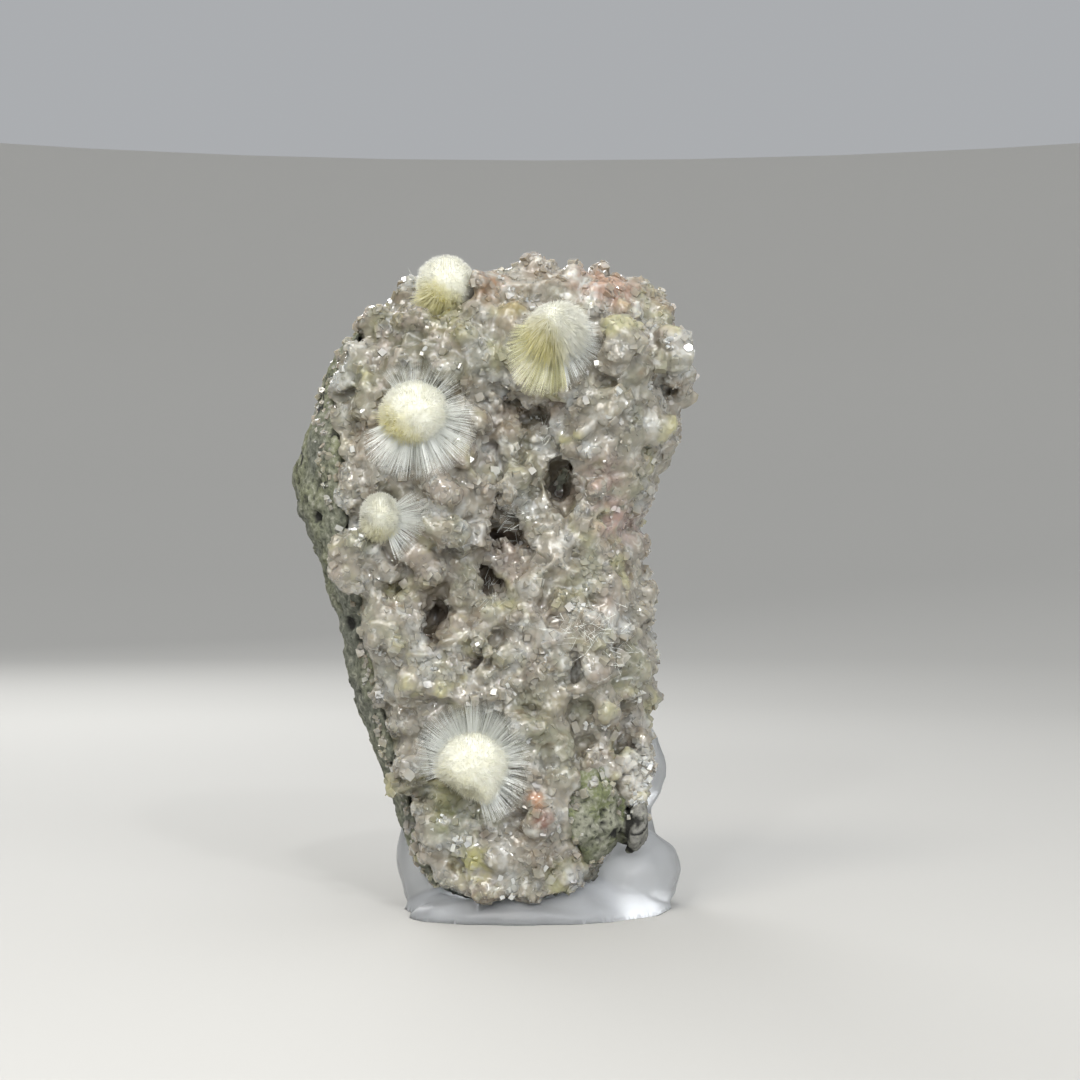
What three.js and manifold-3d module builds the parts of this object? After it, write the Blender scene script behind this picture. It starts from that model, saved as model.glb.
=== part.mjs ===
// Okenite with mesolite: a small mineral specimen that stands upright in a lump of clear putty.
// A slab of green-grey basalt carries a thick crust of small blocky crystals on its front, its top
// and its right side. Five white balls of okenite sit on the crust, and hair-thin needles of
// mesolite fan out round four of them.
// Millimetres, +Z up. The crystals face -Y. The origin is the centre of the putty's flat underside.
import * as THREE from "three";
import { ImprovedNoise } from "three/addons/math/ImprovedNoise.js";
import { mergeVertices } from "three/addons/utils/BufferGeometryUtils.js";
import Module from "manifold-3d";

// Driving dimensions.
const FOOT = 1.6; // the stone's lowest point, above the table
const TOP = 81; // of the stone without its crystals
const END = 3; // height of the domed end at the top and at the foot
const GAP = 0.3; // between pieces that touch
const SQUARENESS = 2.5; // exponent of the stone's cross-sections: 2 is an ellipse
const STONE_CELLS = [10, 5, 13]; // across, deep and up
const RUGGED = 0.8; // height of the stone's slow waviness
const RUGGED_LENGTH = 7;
const ROUGH = 0.5; // how far the corners of its facets stray

// The stone's outline: height, then how far it reaches left, right, to the front and to the back.
const STATIONS = [
  [FOOT + END, -13.6, 6, -8.8, 6.5],
  [8, -16.2, 9.4, -10, 8.5],
  [14, -18.2, 11.4, -10.4, 10],
  [20, -20.6, 11.8, -10.6, 11.5],
  [26, -23.2, 12.6, -10.6, 12.5],
  [32, -24.6, 13.6, -10.8, 13.5],
  [40, -26.4, 12.6, -11.2, 14.5],
  [48, -30.4, 11.6, -11.6, 15],
  [55, -31.6, 13.8, -12, 15],
  [62, -30, 16.4, -12.4, 14.5],
  [70, -26.4, 17.8, -12.4, 13],
  [75, -23, 16.8, -11.6, 11],
  [TOP - END, -19.4, 14, -10, 8.5],
];

// Broad swells (+) and hollows (-) of the crystal front: x, z, reach, rise.
const RELIEF = [
  [10.5, 68, 7.5, 2.6],
  [10, 57, 5, 1.8],
  [-16, 68.5, 7, 1.4],
  [-13, 54, 6, 1.4],
  [5, 36, 6.5, 2.2],
  [12.5, 31.5, 4, 1.4],
  [-17.5, 33, 5, 1.2],
  [-3, 7, 6, 1.4],
  [-2, 60, 4.5, -3.2],
  [-1, 51, 5, -3],
  [-6, 44, 4.5, -2.4],
  [-11, 39, 3.5, -1.8],
  [6.5, 22.5, 3.5, -1.4],
];

// The dark pockets of the crooked cleft that runs down the front: x, z, half width, half height,
// depth below the surface, and turn in degrees.
const POCKETS = [
  [-4.9, 65.4, 3, 2.8, 4.8, 0],
  [-1, 62.2, 2.6, 2, 4.4, -25],
  [2.6, 53.6, 2.2, 3.9, 5, -8],
  [-4.5, 47.4, 2.3, 3.4, 4.8, 20],
  [-6.4, 42.2, 1.8, 2.3, 4, -20],
  [-12.8, 38.2, 1.7, 2.2, 4, 10],
];

// Where the bare basalt breaks through the crust, low on the right: centre and half sizes.
const BARE_PATCH = { x: 8.2, z: 12.8, halfWidth: 5.4, halfHeight: 6.8, turn: -20 };
// How wide a band of bare basalt shows along the left edge, by height.
const BARE_EDGE = [
  [0, 0.2],
  [18, 1.4],
  [26, 2.8],
  [38, 2.8],
  [46, 5.8],
  [60, 5.8],
  [66, 1],
  [90, 0],
];
const CRUST_THICKNESS = 6.5;
const CRUST_RIM = 4.5; // how far back the crust wraps round the top and the right side

// The crust's surface is cobbled with lumps of small crystals, and larger blocky crystals stand
// out of it.
const CRUST_CELLS = [19, 6, 38];
const LUMP_SPACING = 3.6;
const LUMP_RADIUS = [2, 2.9];
const LUMP_DARTS = 4000;
const LUMP_RISE = 0.85; // share of its radius by which a lump stands out
const CREASE = -0.5; // where the surface lies between lumps
const STRAY = 0.6; // how far the surface's corners stray
const PLAIN_BELOW = 3.8; // the stone's underside, sunk in the putty, has no lumps
const BLOCKS = 18;
const BLOCK_SPACING = 5.5;
const BLOCK_SIZE = [1.5, 2.3];
const SEED = 7;

// Gas holes in the basalt, scattered from the left edge round the back.
const PITS = 7;
const PIT_RADIUS = [1.1, 2.3];
// Flat breaks of the basalt's back: a point of the plane, its turn about Z and its tip about X in
// degrees, and how far it cuts in.
const BREAKS = [
  [-6, 14.6, 60, 14, -6, 1.4],
  [4, 14, 40, -22, 3, 1.2],
  [-10, 13, 26, 24, 14, 1.6],
];

// Okenite balls: place on the front, radius, and how far the centre stands out of the surface.
const BALLS = {
  top: { x: -11.6, z: 79, radius: 3.6, out: -0.4, squash: [1.02, 1, 0.98] },
  upper: { x: 2.0, z: 72.6, radius: 3.4, out: 2.2, squash: [1, 0.9, 1.04] },
  left: { x: -15.2, z: 62.4, radius: 4.1, out: 2.6, squash: [1.03, 0.95, 0.97] },
  small: { x: -19.4, z: 50, radius: 2.75, out: 2, squash: [0.92, 0.95, 1.06] },
  low: { x: -8.2, z: 19.7, radius: 4.5, out: 2.4, squash: [1.04, 0.9, 0.94] },
};

// Mesolite sprays: the ball they grow round, how thick the fan is, how far its tips lean towards the
// front, and its reach from the ball's centre by angle. Angles run anticlockwise from +X, in degrees.
const SPRAYS = {
  upper: {
    ball: "upper",
    thickness: 2.6,
    lean: 8,
    reach: [
      [172, 5.2],
      [200, 6.6],
      [245, 8.9],
      [285, 7.4],
      [310, 5],
      [372, 5.4],
    ],
  },
  left: {
    ball: "left",
    thickness: 2.2,
    lean: 14,
    reach: [
      [200, 6.6],
      [225, 8],
      [270, 8.4],
      [330, 8.3],
      [375, 7.2],
      [420, 6],
      [490, 6.4],
    ],
  },
  small: {
    ball: "small",
    thickness: 1.8,
    lean: 12,
    reach: [
      [-72, 6],
      [-30, 5.6],
      [10, 6.4],
      [42, 5],
    ],
  },
  low: {
    ball: "low",
    thickness: 3,
    lean: 16,
    reach: [
      [-78, 7.4],
      [-50, 7.6],
      [0, 7.2],
      [90, 7.8],
      [160, 7.6],
      [200, 6.4],
    ],
  },
};
const FAN_STEP = 20; // degrees between two tips of a fan's outline
const FAN_NOTCH = 0.86; // reach of the outline between two tips

// The putty, as flattened balls pressed together: centre, then half sizes.
const PUTTY_LOBES = [
  [[-0.3, 2, 0], [17.6, 13.2, 5.4]],
  [[-2.5, -5.6, 0.2], [14.5, 6.2, 3.1]],
  [[11.4, 4.6, 4.4], [7.1, 9, 6.3]],
  [[10.6, 10.6, 17.6], [6.3, 5.6, 8]],
  [[7.5, 9.5, 8.5], [8, 6.5, 8]],
  [[-12.4, 4.6, 6.4], [6.4, 7, 9.6]],
];

const wasm = await Module();
wasm.setup();
const noise = new ImprovedNoise();
const { clamp, degToRad, lerp, radToDeg, seededRandom, smoothstep } = THREE.MathUtils;

// A closed three.js geometry as a solid that can be joined and cut.
function solidOf(geometry) {
  const bare = geometry.clone();
  bare.deleteAttribute("normal");
  bare.deleteAttribute("uv");
  const merged = mergeVertices(bare, 1e-3);
  return new wasm.Manifold(
    new wasm.Mesh({
      numProp: 3,
      vertProperties: merged.attributes.position.array,
      triVerts: new Uint32Array(merged.index.array),
    }),
  );
}

// A solid as a named mesh with flat facets.
function meshOf(name, solid, material) {
  const { vertProperties, triVerts } = solid.getMesh();
  const shared = new THREE.BufferGeometry();
  shared.setAttribute("position", new THREE.BufferAttribute(vertProperties, 3));
  shared.setIndex(new THREE.BufferAttribute(triVerts, 1));
  const geometry = shared.toNonIndexed();
  geometry.computeVertexNormals();
  const mesh = new THREE.Mesh(geometry, material);
  mesh.name = name;
  return mesh;
}

// Cutting can leave crumbs beside the piece itself, which is the largest body.
function largestBody(solid) {
  return solid.decompose().sort((a, b) => b.volume() - a.volume())[0];
}

// Straight lines through rows whose first number is a place and whose others are values there.
function linesThrough(rows) {
  const width = rows[0].length - 1;
  const places = new Float32Array(rows.map((row) => row[0]));
  const values = new Float32Array(rows.flatMap((row) => row.slice(1)));
  const lines = new THREE.LinearInterpolant(places, values, width);
  return (place) => lines.evaluate(clamp(place, places[0], places.at(-1)));
}

const stationAt = linesThrough(STATIONS);
const bareEdgeAt = linesThrough(BARE_EDGE);

function relief(x, z) {
  return RELIEF.reduce(
    (sum, [cx, cz, reach, rise]) =>
      sum + rise * Math.exp(-((x - cx) ** 2 + (z - cz) ** 2) / reach ** 2),
    0,
  );
}

// A point of the stone's surface for a point of a cube that reaches from -1 to 1 each way. The
// cube's sides become the superellipses, its top and its bottom the domed ends.
function stonePoint(across, deep, up) {
  const low = FOOT + END;
  const z = lerp(low, TOP - END, (up + 1) / 2);
  const [left, right, front, back] = stationAt(z);
  const ring = Math.max(Math.abs(across), Math.abs(deep));
  const sum = Math.abs(across) ** SQUARENESS + Math.abs(deep) ** SQUARENESS;
  const shrink = ring === 0 ? 1 : ring / sum ** (1 / SQUARENESS);
  const x = (left + right) / 2 + across * shrink * ((right - left) / 2);
  const swell = deep < 0 ? relief(x, z) : 0;
  const y = (front + back) / 2 + deep * shrink * ((back - front) / 2 + swell);
  const dome = Math.abs(up) === 1 ? up * END * (1 - ring ** 3) : 0;
  const k = 1 / RUGGED_LENGTH;
  return new THREE.Vector3(
    x + RUGGED * noise.noise(x * k, y * k, z * k),
    y + RUGGED * noise.noise(x * k, y * k, z * k + 9),
    z + dome,
  );
}

// How far forward the front lies at a place, without the slow waviness.
function frontAt(x, z) {
  const [left, right, front, back] = stationAt(z);
  const share = clamp(Math.abs((2 * x - left - right) / (right - left)), 0, 1);
  const deep = (1 - share ** SQUARENESS) ** (1 / SQUARENESS);
  return (front + back) / 2 - deep * ((back - front) / 2 + relief(x, z));
}

// A cube of cells wrapped round the stone, each corner moved by a function of its place. Every
// other cell is split along its other diagonal, so that no direction stands out.
function wrapped(cells, move) {
  const geometry = new THREE.BoxGeometry(2, 2, 2, ...cells);
  const index = geometry.index;
  for (let i = 6; i < index.count; i += 12) {
    const [a, b, d, , c] = index.array.slice(i, i + 6);
    index.array.set([a, b, c, a, c, d], i);
  }
  const at = geometry.attributes.position;
  for (let i = 0; i < at.count; i++) {
    const place = stonePoint(at.getX(i), at.getY(i), at.getZ(i));
    at.setXYZ(i, ...move(place));
  }
  return geometry;
}

// The way out of the stone at a place, from a line that runs up its middle.
function outwardAt(place) {
  const z = clamp(place.z, FOOT + 12, TOP - 11);
  const [left, right, front, back] = stationAt(z);
  return place.clone().sub(new THREE.Vector3((left + right) / 2, (front + back) / 2, z)).normalize();
}

// A small step aside that depends on the place alone.
function strayAt({ x, y, z }, length) {
  const k = 1.71;
  const step = (shift) => 2 * length * noise.noise(x * k + shift, y * k, z * k);
  return new THREE.Vector3(step(0), step(20), step(40));
}

// The plain stone, with the rough facets of broken basalt. grow is an offset outwards.
function stone(grow) {
  const move = (place) => {
    const rough = strayAt(place, ROUGH);
    return place.addScaledVector(outwardAt(place), grow).add(rough);
  };
  return solidOf(wrapped(STONE_CELLS, move));
}

// How far back the crust ends and the basalt begins. open widens the crust's side of the seam.
function seamAt(x, z, open) {
  const edge = stationAt(z)[0] + bareEdgeAt(z)[0] + open;
  const wrap = CRUST_RIM + 0.08 * x;
  const inside = Math.min(wrap, frontAt(x, z) + CRUST_THICKNESS);
  return lerp(-30, inside, smoothstep(x, edge - 0.9, edge + 0.9)) - open;
}

// Everything behind the seam: a block whose front face follows it, joined with the basalt that
// breaks through low on the right. The block's first columns follow the crust's left edge.
function behindSeam(open) {
  const fixed = [-4, 4, 11, 18, 32];
  const rows = 11;
  const [low, high, deep] = [-6, 94, 40];
  const geometry = new THREE.BoxGeometry(1, 1, 1, fixed.length + 3, 1, rows);
  const at = geometry.attributes.position;
  for (let i = 0; i < at.count; i++) {
    const z = lerp(low, high, at.getZ(i) + 0.5);
    const edge = stationAt(z)[0] + bareEdgeAt(z)[0] + open;
    const step = [edge - 1.1, edge + 1.1];
    const columns = [-50, ...step, lerp(step[1], fixed[0], 0.5), ...fixed];
    const x = columns[Math.round((at.getX(i) + 0.5) * (columns.length - 1))];
    at.setXYZ(i, x, at.getY(i) < 0 ? seamAt(x, z, open) : deep, z);
  }
  const { x, z, halfWidth, halfHeight } = BARE_PATCH;
  const patch = new THREE.IcosahedronGeometry(1, 1);
  patch.scale(halfWidth + open, CRUST_THICKNESS + 3 + open, halfHeight + open);
  patch.rotateY(degToRad(BARE_PATCH.turn)).translate(x, frontAt(x, z) + 2, z);
  return solidOf(geometry).add(solidOf(patch));
}

// Whether a place lies on the bare patch, or within margin of it.
function onPatch(x, z, margin) {
  const { halfWidth, halfHeight } = BARE_PATCH;
  const across = (x - BARE_PATCH.x) / (halfWidth + margin);
  const up = (z - BARE_PATCH.z) / (halfHeight + margin);
  return Math.hypot(across, up) < 1;
}

// A pocket of the crust, as a squashed ball sunk into the front.
function pocket([x, z, halfWidth, halfHeight, depth, turn]) {
  const geometry = new THREE.IcosahedronGeometry(1, 0);
  geometry.scale(halfWidth, depth, halfHeight).rotateY(degToRad(turn));
  geometry.translate(x, frontAt(x, z) - 0.6, z);
  return solidOf(geometry);
}

// The middle of an okenite ball.
function ballCentre({ x, z, out }) {
  return new THREE.Vector3(x, frontAt(x, z) - out, z);
}

function ball(spec) {
  const geometry = new THREE.IcosahedronGeometry(1, 2);
  geometry.scale(...spec.squash.map((share) => share * spec.radius));
  geometry.translate(...ballCentre(spec));
  return solidOf(geometry);
}

// The socket that a ball leaves in the crust.
function socket(spec) {
  const geometry = new THREE.IcosahedronGeometry(1, 1);
  geometry.scale(...spec.squash.map((share) => share * spec.radius * 1.08 + GAP));
  geometry.translate(...ballCentre(spec));
  return solidOf(geometry);
}

// A fan of needles as one solid: a block bent round the ball, with a toothed rim, thinner and
// further forward at its tips. grow widens it all round, and room adds depth at its front.
function fan(spec, grow, room) {
  const owner = BALLS[spec.ball];
  const centre = ballCentre(owner);
  const root = owner.radius * Math.max(...owner.squash) + GAP;
  const reachAt = linesThrough(spec.reach);
  const [first, last] = [spec.reach[0][0], spec.reach.at(-1)[0]];
  const teeth = Math.round((last - first) / FAN_STEP) * 2;
  const margin = radToDeg(grow / root);
  const geometry = new THREE.BoxGeometry(1, 1, 1, teeth, 1, 1);
  const at = geometry.attributes.position;
  for (let i = 0; i < at.count; i++) {
    const tooth = Math.round((at.getX(i) + 0.5) * teeth);
    const degrees = lerp(first, last, tooth / teeth);
    const beyond = tooth === 0 ? -margin : tooth === teeth ? margin : 0;
    const angle = degToRad(degrees + beyond);
    const atTip = at.getY(i) > 0;
    const reach = reachAt(degrees)[0] * (tooth % 2 ? FAN_NOTCH : 1);
    const radius = atTip ? reach + grow : root - grow;
    const forward = (radius - root) * Math.tan(degToRad(spec.lean));
    const half = (spec.thickness / 2) * (atTip ? 0.35 : 1) + grow;
    const depth = at.getZ(i) > 0 ? half : -half - room;
    at.setXYZ(
      i,
      centre.x + radius * Math.cos(angle),
      centre.y - forward + depth,
      centre.z + radius * Math.sin(angle),
    );
  }
  return solidOf(geometry);
}

// Round holes that gas left in the basalt.
function pits() {
  seededRandom(SEED + 5);
  return Array.from({ length: PITS }, (_, i) => {
    const across = lerp(-1, 0.8, seededRandom());
    const up = lerp(-0.7, 0.8, seededRandom());
    const place = i % 2 ? stonePoint(across, 1, up) : stonePoint(-1, -0.4 - across * 0.4, up);
    const radius = lerp(...PIT_RADIUS, seededRandom());
    const geometry = new THREE.IcosahedronGeometry(radius, 0);
    geometry.rotateX(seededRandom()).rotateZ(seededRandom());
    return solidOf(geometry.translate(...place));
  });
}

// The room behind the flat faces along which the basalt broke.
function breaks() {
  return BREAKS.map(([x, y, z, turn, tip, depth]) => {
    const geometry = new THREE.BoxGeometry(24, 20, 26).translate(0, 10 - depth, 0);
    geometry.rotateX(degToRad(tip)).rotateZ(degToRad(turn)).translate(x, y, z);
    return solidOf(geometry);
  });
}

// Whether a lump or a crystal of the crust can sit at a place.
function onCrust(place, margin) {
  const clearOfPockets = POCKETS.every(
    ([x, z, wide, high]) =>
      Math.hypot((place.x - x) / (wide + margin), (place.z - z) / (high + margin)) > 1,
  );
  const clearOfBalls = Object.values(BALLS).every(
    (spec) => ballCentre(spec).distanceTo(place) > spec.radius + 1.4,
  );
  const before = place.y < seamAt(place.x, place.z, 0) - 1.1 && place.z > PLAIN_BELOW;
  return before && clearOfPockets && clearOfBalls && !onPatch(place.x, place.z, margin);
}

// Corners of the crust's grid picked at random, none closer to another than the spacing.
function scatter(spacing, margin, darts, seed) {
  const corners = wrapped(CRUST_CELLS, (place) => place).attributes.position;
  const places = [];
  seededRandom(seed);
  for (let dart = 0; dart < darts; dart++) {
    const corner = Math.floor(seededRandom() * corners.count);
    const place = new THREE.Vector3().fromBufferAttribute(corners, corner);
    const free = places.every((other) => other.distanceTo(place) > spacing);
    if (free && onCrust(place, margin)) {
      places.push(place);
    }
  }
  return places;
}

// The cobbled surface of the crust. grow is an offset outwards.
function cobbles(grow) {
  const lumps = scatter(LUMP_SPACING, 0.8, LUMP_DARTS, SEED);
  const radii = lumps.map(() => lerp(...LUMP_RADIUS, seededRandom()));
  const riseAt = (place) =>
    lumps.reduce((highest, lump, i) => {
      const away = lump.distanceTo(place) / radii[i];
      return away < 1 ? Math.max(highest, LUMP_RISE * radii[i] * Math.sqrt(1 - away ** 2)) : highest;
    }, CREASE);
  const move = (place) => {
    const rise = onCrust(place, 0) ? riseAt(place) : CREASE;
    const stray = strayAt(place, place.z > PLAIN_BELOW ? STRAY : 0);
    return place.addScaledVector(outwardAt(place), rise + grow).add(stray);
  };
  return solidOf(wrapped(CRUST_CELLS, move));
}

// Larger crystals with flat faces that stand out of the cobbles.
function blocks(grow) {
  const turn = new THREE.Euler();
  const places = scatter(BLOCK_SPACING, 1.5, 600, SEED + 3).slice(0, BLOCKS);
  return places.map((place) => {
    const size = lerp(...BLOCK_SIZE, seededRandom());
    const sides = [size * 1.3, size, size * 1.6].map((side) => side + 2 * grow);
    const geometry = new THREE.BoxGeometry(...sides);
    turn.set(seededRandom() * Math.PI, seededRandom() * Math.PI, seededRandom() * Math.PI);
    geometry.applyQuaternion(new THREE.Quaternion().setFromEuler(turn));
    const middle = place.clone().addScaledVector(outwardAt(place), 0.6 * size);
    geometry.translate(middle.x, middle.y, middle.z);
    return solidOf(geometry);
  });
}

// The putty: its lobes joined, cut flat where it stands, and pressed hollow by the stone.
function putty(pressedBy) {
  const lobes = PUTTY_LOBES.map(([centre, halves]) =>
    solidOf(new THREE.SphereGeometry(1, 12, 6).scale(...halves).translate(...centre)),
  );
  const below = solidOf(new THREE.BoxGeometry(90, 90, 40).translate(0, 0, -20));
  return largestBody(wasm.Manifold.union(lobes).subtract(below).subtract(pressedBy));
}

const paint = {
  basalt: new THREE.MeshStandardMaterial({ color: 0x6c7262, roughness: 0.9 }),
  crystal: new THREE.MeshStandardMaterial({ color: 0xa7a397, roughness: 0.25 }),
  okenite: new THREE.MeshStandardMaterial({ color: 0xf3f2e4, roughness: 0.95 }),
  mesolite: new THREE.MeshStandardMaterial({ color: 0xdcdedb, roughness: 0.4 }),
  putty: new THREE.MeshStandardMaterial({ color: 0xb9bcc0, roughness: 0.35 }),
};

const specimen = new THREE.Group();

const crustRooms = [
  behindSeam(GAP),
  ...Object.values(BALLS).map(socket),
  ...Object.values(SPRAYS).map((spec) => fan(spec, GAP, 6)),
];
const plainStone = stone(0);
const pocketed = cobbles(0).subtract(wasm.Manifold.union(POCKETS.map(pocket)));
const crust = largestBody(
  wasm.Manifold.union([pocketed, ...blocks(0)]).subtract(wasm.Manifold.union(crustRooms)),
);
specimen.add(meshOf("crystal_crust", crust, paint.crystal));

const matrix = largestBody(
  plainStone.intersect(behindSeam(0)).subtract(wasm.Manifold.union([...pits(), ...breaks()])),
);
specimen.add(meshOf("basalt_matrix", matrix, paint.basalt));

for (const [place, spec] of Object.entries(BALLS)) {
  specimen.add(meshOf(`okenite_ball_${place}`, ball(spec), paint.okenite));
}

for (const [place, spec] of Object.entries(SPRAYS)) {
  specimen.add(meshOf(`mesolite_spray_${place}`, fan(spec, 0, 0), paint.mesolite));
}

const pressedBy = wasm.Manifold.union([stone(GAP), cobbles(GAP), ...blocks(GAP)]);
specimen.add(meshOf("clear_putty", putty(pressedBy), paint.putty));

export default specimen;
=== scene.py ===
"""Okenite with mesolite: a crystal-covered slab of basalt that stands in a lump of clear putty."""

import math
import random

import bmesh
import bpy
import numpy as np
from mathutils import Matrix, Vector, noise
from mathutils.bvhtree import BVHTree


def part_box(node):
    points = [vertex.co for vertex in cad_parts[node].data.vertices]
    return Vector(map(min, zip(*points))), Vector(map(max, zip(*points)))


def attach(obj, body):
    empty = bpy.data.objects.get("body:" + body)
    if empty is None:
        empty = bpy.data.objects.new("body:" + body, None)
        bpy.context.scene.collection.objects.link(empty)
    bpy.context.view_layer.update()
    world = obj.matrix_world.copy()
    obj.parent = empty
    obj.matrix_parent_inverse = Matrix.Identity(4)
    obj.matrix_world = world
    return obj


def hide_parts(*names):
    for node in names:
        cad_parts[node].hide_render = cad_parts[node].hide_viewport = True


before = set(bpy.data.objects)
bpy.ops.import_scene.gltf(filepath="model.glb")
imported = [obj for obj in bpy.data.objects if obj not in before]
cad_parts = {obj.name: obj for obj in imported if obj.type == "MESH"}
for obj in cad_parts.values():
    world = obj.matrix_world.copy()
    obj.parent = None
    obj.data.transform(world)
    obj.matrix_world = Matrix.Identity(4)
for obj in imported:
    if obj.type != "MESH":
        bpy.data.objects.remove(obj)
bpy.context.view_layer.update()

# Camera
# It stands in front of the specimen at the height of its middle and looks up by a little over
# one degree, as the photograph does.
mm = 0.001
CAMERA_DISTANCE = 267 * mm
CAMERA_HEIGHT = 42 * mm
CAMERA_TILT = 91.15
lens = bpy.data.cameras.new("camera")
lens.lens = 69.4
lens.sensor_width = 36
lens.clip_start = 5 * mm
camera = bpy.data.objects.new("camera", lens)
camera.location = (0, -CAMERA_DISTANCE, CAMERA_HEIGHT)
camera.rotation_euler = (math.radians(CAMERA_TILT), 0, 0)
bpy.context.scene.collection.objects.link(camera)
bpy.context.scene.camera = camera

# The stone
# A slab of green-grey altered basalt, knocked out of the wall of a gas cavity. It is fine-grained
# and matt, full of small round gas holes and dark cracks, and shows at the back, along the left
# edge and in a bare patch low on the right.
STONE_GRAIN = 0.5 * mm
# The bare patch: the x and z of its middle in mm, and the square of how far its breakage reaches.
PATCH_X, PATCH_Z, PATCH_REACH_SQUARED = 8, 13, 90
# The front there is turned forward: right of which x, in front of which y and between which z, in
# mm, and how steeply.
TURNED_LEFT, TURNED_BACK, TURNED_FOOT, TURNED_TOP, TURNED_SLOPE = 4, -3, 7, 19, 0.35
# The crack right of the patch, cut in and painted black as its shade: its x and z at the top, its
# height, how far it wanders to the left on its way down, and half its width, in mm.
CRACK_X, CRACK_TOP, CRACK_HEIGHT, CRACK_LEAN, CRACK_HALF = 11.2, 14, 6.5, 0.6, 0.55
# The thin rim piece right of the crack: its middle and half sizes in mm, and its lean in degrees.
RIM_MIDDLE, RIM_HALVES, RIM_LEAN = (11.9, -4.2, 11.2), (1.5, 3.4, 3.6), 10
# Right of this x and below this z, the relief is kept low, so that the rim piece keeps its form.
RIM_LEFT, RIM_TOP, RIM_RELIEF = 10.8 * mm, 16 * mm, 0.45


def copy_of(node_name):
    """The solid's own shape, with its loose triangles joined."""
    shape = bmesh.new()
    shape.from_mesh(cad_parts[node_name].data)
    bmesh.ops.remove_doubles(shape, verts=shape.verts, dist=0.002 * mm)
    return shape


def fine_skin(name, shape, grain, rounds=0):
    """The same closed shape with small even faces, rounded off by that many passes."""
    rough = bpy.data.meshes.new(name + "_rough")
    shape.to_mesh(rough)
    shape.free()
    piece = bpy.data.objects.new(name, rough)
    bpy.context.scene.collection.objects.link(piece)
    even = piece.modifiers.new("even", "REMESH")
    even.mode = "VOXEL"
    even.voxel_size = grain
    if rounds:
        smooth = piece.modifiers.new("smooth", "SMOOTH")
        smooth.factor = 0.5
        smooth.iterations = rounds
    graph = bpy.context.evaluated_depsgraph_get()
    skin = bpy.data.meshes.new_from_object(piece.evaluated_get(graph))
    piece.modifiers.clear()
    piece.data = skin
    skin.name = name
    skin.shade_smooth()
    return piece


def cells(place, size, seed):
    """Distances to the nearest and second nearest of random points about `size` apart."""
    spots = noise.voronoi((place + Vector((seed, seed, seed)) * size) / size)[0]
    return spots[0], spots[1]


def move_out(piece, rise):
    """Moves each point along its normal by rise(place, normal), which also gives how dark it is painted
    as shade, and for a ball its yellow tone instead.
    """
    shades = []
    moved = []
    for point in piece.data.vertices:
        out, shade = rise(point.co, point.normal)
        moved.append(point.co + point.normal * out)
        shades.append(shade)
    piece.data.vertices.foreach_set("co", np.array(moved, float).ravel())
    piece.data.attributes.new("hollow", "FLOAT", "POINT").data.foreach_set("value", shades)
    piece.data.update()


def stone_rise(place, normal):
    """Slow waves, broken ledges, swarms of ragged gas holes, and the pits and crack of the patch."""
    front = place.y < 0
    waves = 0.45 * noise.fractal(place / (5 * mm), 1.0, 2.1, 3)
    grit = 0.16 * noise.fractal(place / (1.3 * mm), 0.8, 2.2, 3)
    ragged = place + Vector((1, 1, 1)) * 0.5 * mm * noise.noise(place / (0.8 * mm))
    from_patch = (place.x / mm - PATCH_X) ** 2 + (place.z / mm - PATCH_Z) ** 2
    bare = max(0.0, 1 - from_patch / PATCH_REACH_SQUARED) if front else 0.0
    pores = cells(ragged, 1.5 * mm, 6)[0] + 0.25 * noise.noise(place / (0.7 * mm))
    ledge = noise.noise(place / (2.4 * mm)) + 0.6 * abs(noise.noise(place / (1.2 * mm)))
    grit += bare * (0.8 * min(1.0, max(0.0, pores) / 0.4) - 0.9 + 0.7 * ledge)
    step = noise.voronoi(ragged / (2.6 * mm))[1][0]
    grit += (0.5 + 0.2 * bare) * noise.noise(step * 3.7)
    down = (CRACK_TOP - place.z / mm) / CRACK_HEIGHT
    crooked = 0.5 * noise.noise(place / (1.6 * mm))
    beside = abs(place.x / mm - CRACK_X + CRACK_LEAN * down + crooked)
    gape = max(0.0, 1 - beside / CRACK_HALF) if 0 < down < 1 and front else 0.0
    grit -= 0.8 * gape
    hole, _ = cells(ragged, 2.9 * mm, 5)
    swarm = noise.noise(place / (9 * mm) + Vector((4, 4, 4)))
    deep = max(0.0, 1 - hole / (0.3 + 0.25 * swarm))
    pitted = min(1.0, 1.5 * bare) * (1 - min(1.0, max(0.0, pores) / 0.33))
    # How dark the place is painted: painted shade in the gas holes, the pits of the bare patch and the
    # crack.
    dark = max(min(1.0, 2.2 * deep), pitted, min(1.0, 1.6 * gape))
    rise = waves + grit - 0.9 * min(1.0, 1.6 * deep)
    if place.x > RIM_LEFT and place.z < RIM_TOP and front:
        rise = RIM_RELIEF * rise
    return (0.2 + rise) * mm, dark


slab = copy_of("basalt_matrix")
for point in slab.verts:
    x, y, z = point.co / mm
    if x > TURNED_LEFT and y < TURNED_BACK and TURNED_FOOT < z < TURNED_TOP:
        point.co.y -= TURNED_SLOPE * (x - TURNED_LEFT) * mm
bmesh.ops.create_icosphere(
    slab,
    subdivisions=2,
    radius=1,
    matrix=Matrix.Translation([place * mm for place in RIM_MIDDLE])
    @ Matrix.Rotation(math.radians(RIM_LEAN), 4, "Y")
    @ Matrix.Diagonal([half * mm for half in RIM_HALVES] + [1]),
)
stone = fine_skin("stone", slab, STONE_GRAIN, 6)
move_out(stone, stone_rise)


def linear(hex_colour):
    """An sRGB hex colour as linear red, green, blue and alpha."""
    parts = [int(hex_colour[i : i + 2], 16) / 255 for i in (1, 3, 5)]
    return tuple(c / 12.92 if c < 0.04045 else ((c + 0.055) / 1.055) ** 2.4 for c in parts) + (1,)


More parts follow.
